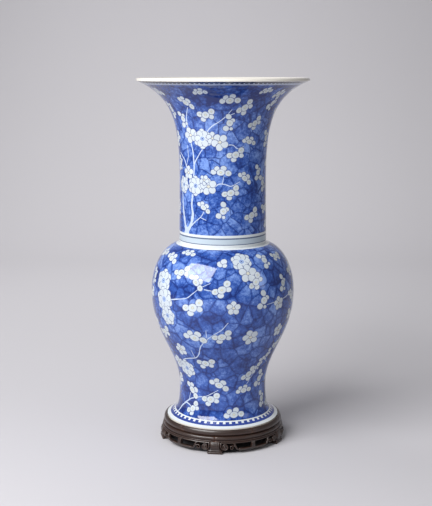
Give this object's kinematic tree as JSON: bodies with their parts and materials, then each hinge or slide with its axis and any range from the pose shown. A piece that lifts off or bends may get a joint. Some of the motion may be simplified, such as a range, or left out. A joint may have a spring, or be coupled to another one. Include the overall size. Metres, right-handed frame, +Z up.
{
  "type": "vase on stand",
  "caption": "Tall blue and white porcelain vase with a trumpet neck, standing in the recess of a low round carved hardwood stand with bowed legs and an openwork apron.",
  "frame": {"origin": "on the ground under the centre of the stand, on the vase's axis", "axes": "+Z up along the vase's axis, -Y towards the painted side that the picture shows, +X to its right"},
  "size_m": [0.224, 0.224, 0.478],
  "materials": {
    "glazed_porcelain": "glossy clear glaze over cobalt painting",
    "dark_hardwood": "dark stained, waxed and rubbed hardwood"
  },
  "bodies": {
    "stand": {"stand_panel": "dark_hardwood", "stand_rim_1": "dark_hardwood", "stand_rim_2": "dark_hardwood", "stand_rim_3": "dark_hardwood", "stand_rim_4": "dark_hardwood", "stand_rim_5": "dark_hardwood", "stand_moulding_1": "dark_hardwood", "stand_moulding_2": "dark_hardwood", "stand_moulding_3": "dark_hardwood", "stand_moulding_4": "dark_hardwood", "stand_moulding_5": "dark_hardwood", "stand_apron_1": "dark_hardwood", "stand_apron_2": "dark_hardwood", "stand_apron_3": "dark_hardwood", "stand_apron_4": "dark_hardwood", "stand_apron_5": "dark_hardwood", "stand_leg_1": "dark_hardwood", "stand_leg_2": "dark_hardwood", "stand_leg_3": "dark_hardwood", "stand_leg_4": "dark_hardwood", "stand_leg_5": "dark_hardwood"},
    "vase": {"vase": "glazed_porcelain"}
  },
  "joints": [
    {"name": "vase_lift", "type": "slide", "parent": "stand", "child": "vase", "axis": [0, 0, 1], "range_m": [0, 0.06]}
  ]
}
